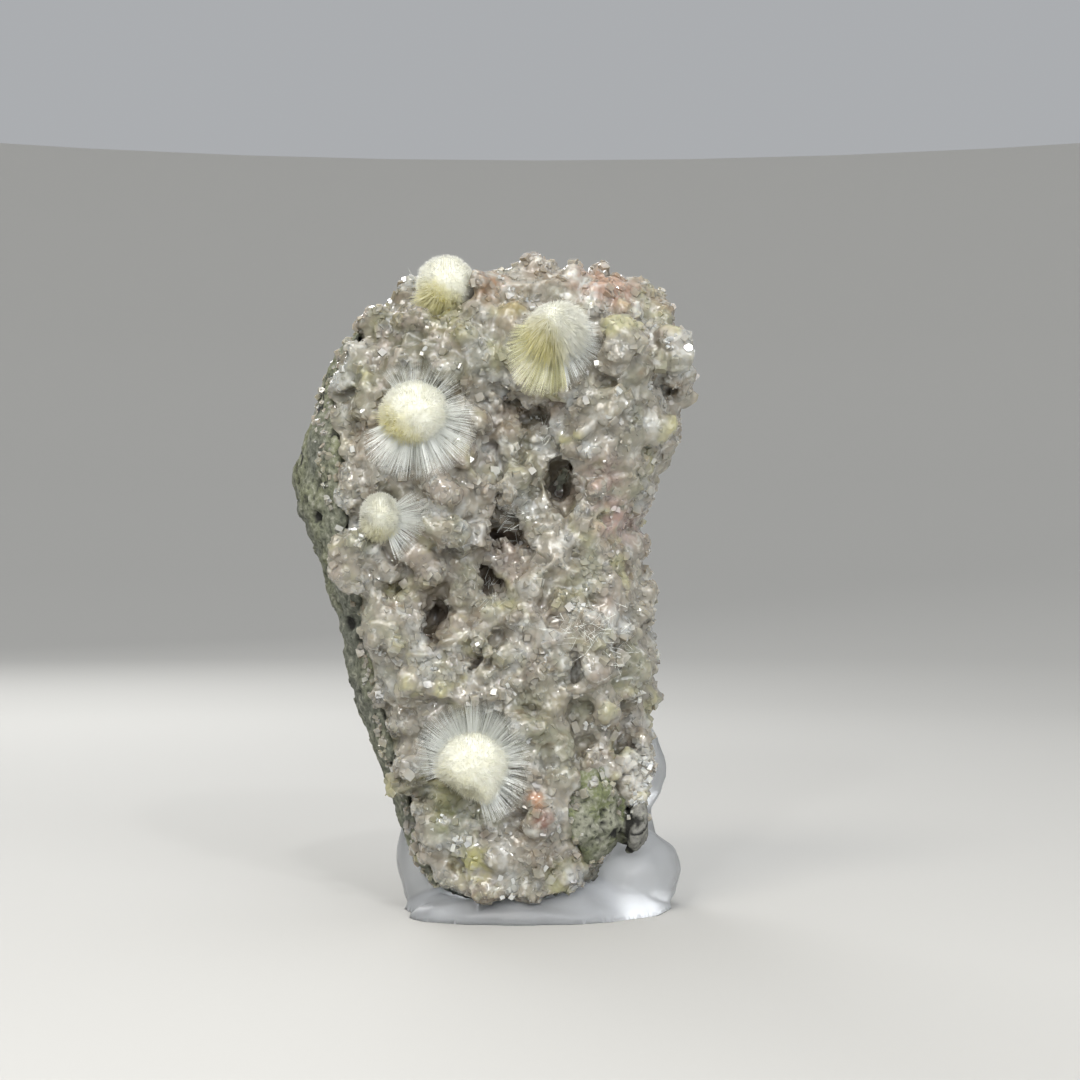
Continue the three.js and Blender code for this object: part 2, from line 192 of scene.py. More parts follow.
def new_finish(name):
    """A material that has no nodes yet."""
    finish = bpy.data.materials.new(name)
    finish.use_nodes = True
    finish.node_tree.nodes.clear()
    return finish


def add(finish, kind, inputs=None, **settings):
    """Adds one node with its settings, and gives each input a value or another node's output."""
    node = finish.node_tree.nodes.new("ShaderNode" + kind)
    for setting, value in settings.items():
        setattr(node, setting, value)
    for socket, value in (inputs or {}).items():
        if isinstance(value, bpy.types.NodeSocket):
            finish.node_tree.links.new(value, node.inputs[socket])
        else:
            node.inputs[socket].default_value = value
    return node


def layered(finish, tint, layers):
    """Lays colours over a first one, each as its pattern's value goes from low to high."""
    for pattern, low, high, strength, hex_colour in layers:
        share = add(finish, "MapRange", {"Value": pattern, 1: low, 2: high, 4: strength}).outputs[0]
        inputs = {0: share, 6: tint, 7: linear(hex_colour)}
        tint = add(finish, "Mix", inputs, data_type="RGBA").outputs[2]
    return tint


# Altered basalt, rough as broken: matt, greenish where clay has replaced the dark minerals, with
# pale specks, a yellow-green bloom and black hair cracks, and painted shade in its holes, pits and crack.
basalt = new_finish("altered_basalt_broken")
here = add(basalt, "TexCoord").outputs["Object"]
bloom = add(basalt, "TexNoise", {"Vector": here, "Scale": 1 / (7 * mm), "Detail": 4.0}).outputs[0]
speck = add(basalt, "TexNoise", {"Vector": here, "Scale": 1 / (0.7 * mm), "Detail": 3.0}).outputs[0]
grain = add(basalt, "TexVoronoi", {"Vector": here, "Scale": 1 / (0.55 * mm)})
tint = layered(basalt, linear("#63665b"), [(bloom, 0.42, 0.66, 1.0, "#73765a")])
# The bare patch is greener in clouds, and paler between them.
centred = {"Vector": here, "Location": (-7 * mm, 0, -13.4 * mm), "Scale": (1, 0, 1)}
flat = add(basalt, "Mapping", centred).outputs[0]
away = add(basalt, "VectorMath", {0: flat}, operation="LENGTH").outputs["Value"]
inside = add(basalt, "MapRange", {"Value": away, 1: 6.6 * mm, 2: 4.6 * mm}).outputs[0]
for low, high, hex_colour in ((0.36, 0.5, "#6a704e"), (0.5, 0.4, "#7d7e6e")):
    cloud = add(basalt, "MapRange", {"Value": bloom, 1: low, 2: high}).outputs[0]
    share = add(basalt, "Math", {0: inside, 1: cloud}, operation="MULTIPLY").outputs[0]
    tint = layered(basalt, tint, [(share, 0.0, 1.0, 1.0, hex_colour)])
# The rim piece is grey.
centred = {"Vector": here, "Location": (-12.4 * mm, 0, -5.6 * mm), "Scale": (1, 0, 0.5)}
flat = add(basalt, "Mapping", centred).outputs[0]
away = add(basalt, "VectorMath", {0: flat}, operation="LENGTH").outputs["Value"]
layers = [
    (away, 2.1 * mm, 1.5 * mm, 1.0, "#76756f"),
    (speck, 0.52, 0.74, 1.0, "#98988a"),
    (speck, 0.46, 0.30, 1.0, "#3f4136"),
]
tint = layered(basalt, tint, layers)
# Hair cracks where the stone is broken, and painted shade, near black, in the holes, pits and crack.
wander = add(basalt, "TexNoise", {"Vector": here, "Scale": 1 / (3.846 * mm)}).outputs["Color"]
bent = add(basalt, "Mix", {0: 0.0016, 6: here, 7: wander}, data_type="RGBA").outputs[2]
inputs = {"Vector": bent, "Scale": 1 / (6.5 * mm)}
crack = add(basalt, "TexVoronoi", inputs, feature="DISTANCE_TO_EDGE").outputs[0]
crack = add(basalt, "MapRange", {"Value": crack, 1: 0.035, 2: 0.008}).outputs[0]
broken = add(basalt, "MapRange", {"Value": bloom, 1: 0.55, 2: 0.6}).outputs[0]
crack = add(basalt, "Math", {0: crack, 1: broken}, operation="MULTIPLY").outputs[0]
hollow = add(basalt, "Attribute", attribute_name="hollow").outputs["Fac"]
tint = layered(basalt, tint, [(crack, 0.0, 1.0, 1.0, "#12110e"), (hollow, 0.15, 0.85, 1.0, "#171712")])
bump = add(basalt, "Bump", {"Strength": 1.0, "Distance": 0.35 * mm, "Height": speck}).outputs[0]
bump = add(
    basalt,
    "Bump",
    {"Strength": 0.12, "Distance": 0.2 * mm, "Height": grain.outputs[0], "Normal": bump},
).outputs[0]
shader = add(
    basalt,
    "BsdfPrincipled",
    {"Base Color": tint, "Roughness": 0.82, "IOR": 1.55, "Normal": bump},
)
add(basalt, "OutputMaterial", {"Surface": shader.outputs[0]})
stone.data.materials.clear()
stone.data.materials.append(basalt)
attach(stone, "root")
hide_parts("basalt_matrix")

# The crust
# A thick crust of small glassy crystals that grew together over the cavity's wall. It swells in
# rounded lumps of 2 to 5 mm, is clouded grey-beige, pink and greenish, and is stained orange by
# iron in a few places. Its creases, hollows and the crooked cleft down its middle are painted dark as
# shade.
CRUST_GRAIN = 0.4 * mm
KNOBS = 1050
SEAM_KNOBS = 260
# Between the low and the high edge the lumps swell freely. Past them they are the outline that the
# eye sees, and they stay close and small, most of all past the foot, the crest and the peak.
FOOT, LOW_EDGE, HIGH_EDGE, CREST, PEAK = 6 * mm, 16 * mm, 75 * mm, 77 * mm, 80 * mm
# No lumps grow above and left of these, behind the ball at the top.
BALL_SHELF, BALL_SIDE = 79 * mm, -6 * mm
# The crest dips between these two x: above this height, by this share.
DIP_LEFT, DIP_RIGHT, DIP_HEIGHT, DIP_SHARE = 2.6 * mm, 7.4 * mm, 80.2 * mm, 0.8
# Stains, and painted shade where the cleft and a hollow are deepest: middle x and z, reach in mm,
# strength, and colour.
STAINS_AND_SHADE = [
    (-6.3, 78.5, 3.2, 0.75, "#a07855"),
    (-3.6, 75.5, 3.6, 0.5, "#8d7a4e"),
    (6.9, 79.2, 4.2, 0.6, "#a97f66"),
    (10.5, 78.0, 3.6, 0.5, "#a0745c"),
    (-11.6, 74.6, 3.2, 0.8, "#a39b4a"),
    (-20.5, 60.2, 4.0, 0.5, "#9a7b55"),
    (1.7, 67.4, 3.0, 0.6, "#a29a4c"),
    (9.6, 49.4, 4.0, 0.8, "#a58a80"),
    (8.0, 54.0, 4.0, 0.5, "#9d7f74"),
    (-0.6, 15.4, 1.7, 0.75, "#b07c56"),
    (0.4, 13.0, 2.2, 0.8, "#6e4234"),
    (-7.4, 11.6, 2.0, 0.7, "#4c3228"),
    (-8.4, 7.4, 3.4, 0.7, "#aeaa62"),
    (-11.4, 12.6, 3.0, 0.6, "#6d7340"),
    (-13.0, 34.6, 2.6, 0.6, "#4a3a2c"),
    (-1.2, 31.2, 2.6, 0.5, "#4f3d2c"),
    (1.5, 26.8, 3.0, 0.4, "#8b8152"),
    (2.8, 40.2, 3.4, 0.5, "#6f6a44"),
    (-5.5, 60.7, 5.0, 0.55, "#6b5f50"),
    (-4.3, 46.2, 5.0, 0.6, "#62564b"),
    (-12.3, 40.6, 4.6, 0.55, "#66594a"),
    (-17.0, 44.0, 3.6, 0.5, "#6e614d"),
    (1.8, 56.5, 3.4, 0.5, "#655a45"),
    (-15.5, 71.5, 13.0, 0.85, "#6c6a57"),
    (-19.0, 64.0, 7.0, 0.6, "#6c6a57"),
    # Painted shade: near black deep in the cleft, and dark olive in a hollow higher up.
    (2.7, 54.2, 1.9, 0.95, "#1a1611"),
    (-3.7, 64.0, 1.5, 0.8, "#2c281a"),
    (13.0, 18.0, 4.4, 0.8, "#dddbd2"),
    (11.3, 14.6, 2.4, 0.8, "#dddbd2"),
    (-8.0, 40.0, 8.0, 0.3, "#8f8a80"),
]
# Lumps with a place of their own, middle and radius in mm: those of the white corner, right of the
# bare patch, and the last three, which are the highest of the crest.
PLACED_KNOBS = [
    (12.9, -3.2, 20.2, 1.7),
    (13.1, -3.0, 18.2, 1.6),
    (12.6, -3.8, 16.6, 1.6),
    (11.8, -4.6, 15.0, 1.3),
    (10.6, -5.6, 16.8, 1.5),
    (8.6, -7.4, 18.8, 1.4),
    (10.8, -5.8, 19.6, 1.7),
    (11.8, -4.6, 18.0, 1.7),
    (12.6, -3.6, 22.0, 1.6),
    (-2.2, -7.0, 80.9, 1.6),
    (-0.6, -7.2, 81.6, 1.6),
    (0.9, -7.0, 81.2, 1.5),
]
# Crooked creases in the crust: how far each reaches to either side and how deep it is cut, in mm,
# and the x and z of its bends.
CREASES = [
    (0.8, 1.5, [(-6.2, 58.8), (-5.0, 57.2), (-4.6, 55.8), (-5.6, 54.6), (-5.2, 52.6), (-5.0, 50.6)]),
    (1.0, 1.8, [(-5.6, 47.4), (-4.8, 46.2)]),
    (0.7, 1.4, [(-2.2, 46.8), (-0.8, 45.2), (0.8, 44.6)]),
    (0.7, 1.4, [(2.0, 58.2), (2.6, 56.8), (2.3, 55.8)]),
    (1.0, 1.5, [(-18.8, 45.8), (-17.6, 44.2), (-16.4, 42.8)]),
    (0.9, 1.5, [(-13.0, 38.2), (-13.9, 36.4), (-13.2, 34.8)]),
    (0.7, 1.4, [(-6.8, 34.0), (-7.8, 32.4), (-8.1, 31.0)]),
    (0.6, 1.2, [(-2.6, 58.0), (-1.8, 57.0)]),
    (0.8, 1.3, [(3.1, 50.4), (3.7, 48.4)]),
    (1.3, 2.0, [(-4.8, 64.8), (-3.6, 64.0), (-2.8, 63.6)]),
    (1.3, 2.6, [(2.3, 56.4), (3.0, 54.8), (2.4, 53.2)]),
]


def sparkle(place):
    """How thick with bright crystals a part of the crust is, 0 to 1: the rest is smooth and clouded."""
    patch = noise.noise(place / (4.5 * mm)) * 1.6 + (50 * mm - place.z) / (150 * mm)
    return min(1.0, max(0.0, 0.5 + patch))


def crease_depth(place):
    """How far the creases cut in at a place on the front, in mm."""
    aside = 0.55 * noise.noise(place / (1.1 * mm))
    up = 0.55 * noise.noise(place / (1.3 * mm) + Vector((9, 9, 9)))
    spot = Vector((place.x / mm + aside, place.z / mm + up))
    deepest = 0.0
    for reach, depth, bends in CREASES:
        for start, end in zip(bends, bends[1:]):
            start, way = Vector(start), Vector(end) - Vector(start)
            share = min(1.0, max(0.0, (spot - start).dot(way) / way.length_squared))
            away = (spot - start - way * share).length
            deepest = max(deepest, depth * (1 - away / reach))
    return deepest


def swelling(place, size, seed):
    """How far a place stands out of the creases between rounded lumps of that size, 0 to 1."""
    near, next_near = cells(place, size, seed)
    return min(1.0, (next_near - near) / 0.55) ** 0.5


def crust_rise(place, normal):
    """Grains of 1.2 mm on the lumps, slow waves, and a rim that rises where the stone is near."""
    bent = place + Vector((1, 1, 1)) * 0.3 * mm * noise.noise(place / (1.5 * mm))
    grains = 0.26 * (swelling(bent, 1.25 * mm, 3) - 0.6) + 0.08 * noise.noise(place / (0.6 * mm))
    grains *= 0.65 + 0.35 * sparkle(place)
    if normal.y < 0.2:
        grains -= crease_depth(place)
    if stone_tree.find_nearest(place, 1.1 * mm)[0] is not None:
        grains += 0.4
    return (grains + 0.45 * noise.noise(place / (2.3 * mm))) * mm, 0.0


def hidden_shares(piece, reach):
    """For each point of a piece, the share of the directions out of it that it blocks itself."""
    tree = tree_of(piece)
    pick = random.Random(7)
    ways = [Vector([pick.gauss(0, 1) for _ in range(3)]).normalized() for _ in range(14)]
    shares = []
    for point in piece.data.vertices:
        start = point.co + point.normal * 0.15 * mm
        rays = [(point.normal * 1.05 + way).normalized() for way in ways]
        blocked = [tree.ray_cast(start, ray, reach)[0] is not None for ray in rays]
        shares.append(sum(blocked) / len(ways))
    return shares


def tree_of(piece):
    """What is needed to find the nearest place on a piece."""
    corners = [point.co for point in piece.data.vertices]
    return BVHTree.FromPolygons(corners, [face.vertices for face in piece.data.polygons])


def form_of(shape):
    """A small shape's corners and faces, to be copied many times."""
    shape.verts.index_update()
    corners = np.array([point.co for point in shape.verts])
    faces = [[point.index for point in face.verts] for face in shape.faces]
    shape.free()
    return corners, faces


def grown(name, shapes, spots):
    """One mesh with a copy of a shape at each spot: a shape's number, a matrix, a tone, a painted shade.
    """
    corners, faces, tones, hollows = [], [], [], []
    count = 0
    for number, matrix, tone, hollow in spots:
        shape, sides = shapes[number]
        turned = np.array(matrix)
        corners.append(shape @ turned[:3, :3].T + turned[:3, 3])
        faces += [[count + corner for corner in side] for side in sides]
        tones += [tone] * len(shape)
        hollows += [hollow] * len(shape)
        count += len(shape)
    mesh = bpy.data.meshes.new(name)
    mesh.from_pydata(np.concatenate(corners).tolist(), [], faces)
    mesh.attributes.new("tone", "FLOAT", "POINT").data.foreach_set("value", tones)
    mesh.attributes.new("hollow", "FLOAT", "POINT").data.foreach_set("value", hollows)
    piece = bpy.data.objects.new(name, mesh)
    bpy.context.scene.collection.objects.link(piece)
    return piece


def crest_drop(place):
    """How far a place on the crest is lowered, where the crest dips."""
    above = place.z - DIP_HEIGHT
    return DIP_SHARE * above if above > 0 and DIP_LEFT < place.x < DIP_RIGHT else 0.0


def lump_forms():
    """Three lumps of about unit radius: a round one, an angular one and a six-sided block."""
    lumps = [bmesh.new() for _ in range(3)]
    bmesh.ops.create_icosphere(lumps[0], subdivisions=2, radius=1)
    bmesh.ops.create_icosphere(lumps[1], subdivisions=1, radius=1.08)
    bmesh.ops.create_cone(
        lumps[2],
        cap_ends=True,
        cap_tris=False,
        segments=6,
        radius1=1.05,
        radius2=0.8,
        depth=1.7,
    )
    return [form_of(lump) for lump in lumps]


def with_knobs(shape, count, seed):
    """The crust's shape drawn in, with lumps that bring it out again, also along the stone's edge."""
    shape.normal_update()
    pick = random.Random(seed)
    faces = [(face.calc_center_median(), face.normal.copy(), face.calc_area()) for face in shape.faces]
    faces = [
        (middle, normal, area)
        for middle, normal, area in faces
        if stone_tree.find_nearest(middle)[3] > 0.25 * mm
        and stone_tree.ray_cast(middle, normal, 3 * mm)[0] is None
    ]
    for point in shape.verts:
        away = stone_tree.find_nearest(point.co)[3]
        depth = 0.25 if point.co.z > CREST or point.co.z < FOOT else 0.75
        point.co -= point.normal * depth * mm * min(1.0, away / (1.6 * mm))
        point.co.z -= crest_drop(point.co)
    chosen = pick.choices(faces, weights=[area for _, _, area in faces], k=count)
    spots = []
    for middle, normal, area in chosen:
        stray = Vector([pick.gauss(0, 1) for _ in range(3)])
        stray -= normal * stray.dot(normal)
        close = middle.z < LOW_EDGE or middle.z > HIGH_EDGE
        middle = middle + stray * (0.07 if close else 0.2) * area**0.5
        radius = pick.choice((1.1, 1.4, 1.7, 2.1, 2.6)) * pick.uniform(0.85, 1.15) * mm
        edge = middle.z < LOW_EDGE or middle.z > CREST or abs(normal.x) > 0.75
        top = pick.uniform(-0.5, -0.1 if edge else 0.4) * mm
        if middle.z > HIGH_EDGE or middle.z < FOOT:
            radius = min(radius, 1.5 * mm)
            top -= (0.8 if middle.z > PEAK else 0.15) * mm
        middle = middle + normal * (top - radius)
        middle.z -= crest_drop(middle)
        if any((middle - place).length < wide + 0.75 * radius for place, wide in ball_places):
            continue
        if middle.z > BALL_SHELF and middle.x < BALL_SIDE:
            continue
        turn = Matrix.Rotation(pick.uniform(0, math.tau), 4, stray)
        sides = [radius * pick.uniform(*share) for share in ((1, 1.35), (0.6, 1), (0.6, 1))]
        squash = Matrix.Diagonal(sides + [1])
        spots.append((pick.choice((0, 1, 1, 2)), Matrix.Translation(middle) @ turn @ squash, 0, 0))
    seam = [
        (middle, normal, area)
        for middle, normal, area in faces
        if stone_tree.find_nearest(middle, 2.2 * mm)[0] is not None and normal.y < 0.7
    ]
    weights = [area for _, _, area in seam]
    for middle, normal, _ in pick.choices(seam, weights=weights, k=SEAM_KNOBS):
        radius = pick.uniform(0.9, 1.3) * mm
        middle = middle + normal * (pick.uniform(-0.5, -0.1) * mm - radius)
        placed = Matrix.Translation(middle) @ Matrix.Scale(radius, 4)
        spots.append((pick.choice((0, 1)), placed, 0, 0))
    for x, y, z, radius in PLACED_KNOBS:
        placed = Matrix.Translation(Vector((x, y, z)) * mm) @ Matrix.Scale(radius * mm, 4)
        spots.append((1, placed, 0, 0))
    knobs = grown("knobs", lump_forms(), spots)
    shape.from_mesh(knobs.data)
    bpy.data.objects.remove(knobs)
    return shape


stone_tree = tree_of(stone)
ball_nodes = [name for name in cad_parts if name.startswith("okenite_ball")]
ball_boxes = [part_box(name) for name in ball_nodes]
ball_places = [((low + high) / 2, (high - low).x / 2) for low, high in ball_boxes]
crust = fine_skin("crust", with_knobs(copy_of("crystal_crust"), KNOBS, 21), CRUST_GRAIN, 1)
move_out(crust, crust_rise)
# Painted shade: the share of the room that the crust hides from each point, kept to darken its creases,
# hollows and cleft.
hollows = hidden_shares(crust, 8 * mm)
crust.data.attributes["hollow"].data.foreach_set("value", hollows)
bright = [sparkle(point.co) for point in crust.data.vertices]
crust.data.attributes.new("sparkle", "FLOAT", "POINT").data.foreach_set("value", bright)


def druse_colour(finish):
    """The crust's clouded colours by place: beige, pink, green and pale grey, with its stains, and
    painted shade where it hides itself.
    """
    here = add(finish, "TexCoord").outputs["Object"]
    clouds = [
        (11 * mm, 0.50, 0.68, "#9a8d82"),
        (8 * mm, 0.48, 0.66, "#8b8b76"),
        (4.5 * mm, 0.56, 0.70, "#80725f"),
        (5 * mm, 0.53, 0.68, "#b2b3ae"),
        (3 * mm, 0.57, 0.72, "#7d786b"),
        (1.4 * mm, 0.56, 0.72, "#cac8be"),
        (6 * mm, 0.58, 0.70, "#a7a47e"),
    ]
    tint = linear("#979286")
    for turn, (size, low, high, cloud) in enumerate(clouds):
        moved = add(finish, "Mapping", {"Vector": here, "Location": (turn * 0.031, 0.017, turn * 0.053)})
        inputs = {"Vector": moved.outputs[0], "Scale": 1 / size, "Detail": 2.5, "Distortion": 0.4}
        patch = add(finish, "TexNoise", inputs).outputs[0]
        tint = layered(finish, tint, [(patch, low, high, 0.8, cloud)])
    flat = add(finish, "Mapping", {"Vector": here, "Scale": (1, 0, 1)}).outputs[0]
    inputs = {"Vector": here, "Scale": 1 / (1.7 * mm), "Detail": 3.0}
    ragged = add(finish, "TexNoise", inputs).outputs[0]
    ragged = add(finish, "MapRange", {"Value": ragged, 1: 0.38, 2: 0.56}).outputs[0]
    for x, z, reach, strength, stain_and_shade in STAINS_AND_SHADE:
        middle = (x * mm, 0, z * mm)
        away = add(finish, "VectorMath", {0: flat, 1: middle}, operation="DISTANCE").outputs["Value"]
        inputs = {"Value": away, 1: reach * mm, 2: reach * 0.25 * mm, 4: strength}
        share = add(finish, "MapRange", inputs).outputs[0]
        share = add(finish, "Math", {0: share, 1: ragged}, operation="MULTIPLY").outputs[0]
        tint = layered(finish, tint, [(share, 0.0, 1.0, 1.0, stain_and_shade)])
    # Painted shade, a dark brown, where the surface hides itself in creases, hollows and the cleft.
    hollow = add(finish, "Attribute", attribute_name="hollow").outputs["Fac"]
    return here, layered(finish, tint, [(hollow, 0.4, 0.95, 0.9, "#42372c")])


def glass_facets(finish, here, size, tilt):
    """A normal that is flat over each grain and tilted at random, as the faces of a druse are."""
    grains = add(finish, "TexVoronoi", {"Vector": here, "Scale": 1 / size, "Randomness": 1.0})
    turned = add(
        finish,
        "VectorMath",
        {0: grains.outputs["Color"], 1: (0.5, 0.5, 0.5)},
        operation="SUBTRACT",
    ).outputs[0]
    turned = add(finish, "VectorMath", {0: turned, "Scale": tilt}, operation="SCALE").outputs[0]
    plain = add(finish, "NewGeometry").outputs["Normal"]
    summed = add(finish, "VectorMath", {0: plain, 1: turned}, operation="ADD").outputs[0]
    normal = add(finish, "VectorMath", {0: summed}, operation="NORMALIZE").outputs[0]
    return grains, normal


# A druse of clouded glassy crystals: light goes a little way in and comes out softened, and the
# flat faces flash white. The faces are drawn 0.8 mm across, as most of them are. Where the crust
# sparkles less, they lie flatter and are duller.
druse = new_finish("clouded_glassy_druse")
here, tint = druse_colour(druse)
bright = add(druse, "Attribute", attribute_name="sparkle").outputs["Fac"]
tilt = add(druse, "MapRange", {"Value": bright, 1: 0.2, 2: 0.8, 3: 0.35, 4: 0.65}).outputs[0]
rough = add(druse, "MapRange", {"Value": bright, 1: 0.2, 2: 0.8, 3: 0.25, 4: 0.1}).outputs[0]
glaze = add(druse, "MapRange", {"Value": bright, 1: 0.2, 2: 0.8, 3: 0.3, 4: 0.5}).outputs[0]
grains, normal = glass_facets(druse, here, 0.8 * mm, tilt)
# Painted shade between the grains: each is painted a little lighter in its middle and darker towards its
# edges.
inputs = {"Value": grains.outputs["Distance"], 1: 0.0, 2: 0.8, 3: 1.08, 4: 0.9}
painted_grain_shade = add(druse, "MapRange", inputs).outputs[0]
painted_grain_shade = add(druse, "CombineXYZ", {0: painted_grain_shade, 1: painted_grain_shade, 2: painted_grain_shade}).outputs[0]
inputs = {0: 1.0, 6: tint, 7: painted_grain_shade}
tint = add(druse, "Mix", inputs, data_type="RGBA", blend_type="MULTIPLY").outputs[2]
shader = add(
    druse,
    "BsdfPrincipled",
    {
        "Base Color": tint,
        "Roughness": rough,
        "IOR": 1.53,
        "Subsurface Weight": 0.85,
        "Subsurface Radius": (1.0, 0.85, 0.65),
        "Subsurface Scale": 1.2 * mm,
        "Coat Weight": glaze,
        "Coat Roughness": 0.04,
        "Normal": normal,
    },
    subsurface_method="RANDOM_WALK",
)
add(druse, "OutputMaterial", {"Surface": shader.outputs[0]})
crust.data.materials.clear()
crust.data.materials.append(druse)
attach(crust, "root")
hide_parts("crystal_crust")

# The crystals on the crust
# Thousands of separate blocky, tabular and pointed crystals, mostly 0.5 to 1.5 mm, that stand out
# of the crust at all angles. They are clear to milky, with sharp edges and flat bright faces.
FINE_CRYSTALS = 5000
LARGE_CRYSTALS = 160
SEAM_CRYSTALS = 2600
WHITE_GROUP = 9
# The forms besides the block: sides, radius at the foot and at the top, and height.
CRYSTAL_FORMS = [
    (6, 0.55, 0.48, 0.5),
    (6, 0.42, 0.08, 1.1),
    (4, 0.66, 0.42, 0.8),
    (5, 0.6, 0.55, 0.3),
]
# A place in front of the whole specimen, in mm, from which the nearest crust is looked for.
IN_FRONT = -40


def crystal_shapes():
    """Five crystal forms of unit size: a block with two cut corners, a slab, a point, a wedge, a tile."""
    forms = []
    block = bmesh.new()
    bmesh.ops.create_cube(block, size=1)
    block.verts.ensure_lookup_table()
    bmesh.ops.bevel(
        block,
        geom=[block.verts[0], block.verts[7]],
        offset=0.3,
        affect="VERTICES",
        segments=1,
        profile=0.5,
        material=-1,
    )
    forms.append(block)
    for sides, wide, narrow, tall in CRYSTAL_FORMS:
        form = bmesh.new()
        bmesh.ops.create_cone(
            form,
            cap_ends=True,
            cap_tris=False,
            segments=sides,
            radius1=wide,
            radius2=narrow,
            depth=tall,
        )
        forms.append(form)
    return [form_of(form) for form in forms]


crust_tree = tree_of(crust)


def open_faces(piece):
    """The faces that can be seen, not those on the stone or under a ball, and their weights."""
    found = []
    for face in piece.data.polygons:
        middle, normal = face.center, face.normal
        if stone_tree.find_nearest(middle, 0.9 * mm)[0] is not None:
            continue
        if stone_tree.ray_cast(middle, normal, 3 * mm)[0] is not None:
            continue
        if any((middle - place).length < radius + 0.5 * mm for place, radius in ball_places):
            continue
        # The crust's painted shade where the crystal stands, which darkens the crystal too.
        hollow = sum(hollows[point] for point in face.vertices) / len(face.vertices)
        thick = 0.45 + sparkle(middle)
        found.append((Vector(middle), Vector(normal), face.area * (1.15 - hollow) * thick, hollow))
    return found


def crystal_spots(faces, count, sizes, tilt, sink, seed):
    """Random places on those faces, each with a crystal of a random form, size and turn."""
    pick = random.Random(seed)
    chosen = pick.choices(faces, weights=[area for _, _, area, _ in faces], k=count)
    spots = []
    for middle, normal, _, hollow in chosen:
        size = pick.uniform(*sizes) * mm * pick.choice((0.7, 1.0, 1.0, 1.25))
        lean = Vector([pick.gauss(0, tilt) for _ in range(3)])
        up = (normal + lean).normalized()
        turn = up.to_track_quat("Z", "Y").to_matrix().to_4x4()
        spin = Matrix.Rotation(pick.uniform(0, math.tau), 4, "Z")
        stretch = Matrix.Diagonal((size, size * pick.uniform(0.6, 1.0), size * pick.uniform(0.7, 1.1), 1))
        place = Matrix.Translation(middle + normal * size * sink)
        number = pick.choices(range(5), weights=(4, 3, 1, 3, 2))[0]
        spots.append((number, place @ turn @ spin @ stretch, pick.random(), hollow))
    return spots


shapes = crystal_shapes()
faces = open_faces(crust)
fine = grown("crystals_fine", shapes, crystal_spots(faces, FINE_CRYSTALS, (0.6, 1.0), 0.35, -0.2, 11))
large = grown("crystals_large", shapes, crystal_spots(faces, LARGE_CRYSTALS, (0.9, 1.5), 0.4, -0.1, 12))
# Groups of snow-white crystals that face the front: x, z and size in mm.
WHITE_CRYSTALS = [
    (-2.9, 77.6, 1.6),
    (-1.5, 76.6, 1.4),
    (-5.2, 79.6, 0.9),
    (16.2, 71.9, 1.3),
    (13.4, 66.2, 1.1),
    (-0.4, 62.3, 1.0),
    (-8.9, 46.6, 1.3),
    (12.9, 53.4, 0.9),
    (4.7, 38.9, 1.2),
    (-3.7, 29.3, 1.5),
    (-13.0, 31.0, 1.2),
    (-1.4, 22.8, 1.1),
    (6.2, 24.6, 1.3),
    (8.0, 24.2, 1.1),
    (12.2, 27.8, 2.0),
    (12.6, 19.4, 2.1),
    (12.9, 16.8, 2.2),
    (12.0, 14.6, 1.9),
    (11.0, 13.2, 1.6),
    (-9.3, 9.2, 2.2),
    (-12.2, 12.6, 1.5),
    (-3.4, 4.8, 2.1),
    (9.8, 6.0, 1.5),
    (-19.4, 33.6, 1.4),
]
pick = random.Random(13)
spots = []
for x, z, size in WHITE_CRYSTALS:
    hit, normal, _, _ = crust_tree.ray_cast(Vector((x, IN_FRONT, z)) * mm, Vector((0, 1, 0)))
    if hit is None:
        continue
    for turn in range(WHITE_GROUP):
        stray = Vector([pick.gauss(0, 1) for _ in range(3)])
        up = normal * 0.6 + Vector((0, -1, 0.3)) + (0.45 + 0.15 * turn) * stray
        track = up.normalized().to_track_quat("Z", "Y").to_matrix().to_4x4()
        spin = Matrix.Rotation(pick.uniform(0, math.tau), 4, "Z")
        wide = size * pick.uniform(0.25, 0.5) * mm
        stretch = Matrix.Diagonal((wide, wide * pick.uniform(0.5, 0.9), wide * 0.6, 1))
        aside = Vector((pick.gauss(0, 0.32), 0.02 * turn, pick.gauss(0, 0.32))) * size * mm
        placed = Matrix.Translation(hit + aside) @ track @ spin @ stretch
        spots.append((pick.choice((0, 0, 2)), placed, 1.0, 0.0))
white = grown("crystals_white", shapes, spots)
# Single crystals on the stone beside the crust, where it thins out, furthest at the upper left.
seam = []
for face in stone.data.polygons:
    middle, normal = Vector(face.center), Vector(face.normal)
    reach = 3.5 if middle.z > 55 * mm and middle.x < 0 else 1.6
    if crust_tree.find_nearest(middle, reach * mm)[0] is None or normal.y > 0.6:
        continue
    if crust_tree.ray_cast(middle + normal * 0.2 * mm, normal, 4 * mm)[0] is None:
        seam.append((middle, normal, face.area, 0.2))
spots = crystal_spots(seam, SEAM_CRYSTALS, (0.5, 1.0), 0.4, -0.05, 14)
spots = [(form, place, tone * 0.9, hollow) for form, place, tone, hollow in spots]
thin = grown("crystals_thin", shapes, spots)

# The same mineral as separate crystals: clearer than the crust, milky in some, with bright faces, and a
# few painted near white as glints.
crystal = new_finish("clouded_glassy_crystals")
here, tint = druse_colour(crystal)
tone = add(crystal, "Attribute", attribute_name="tone").outputs["Fac"]
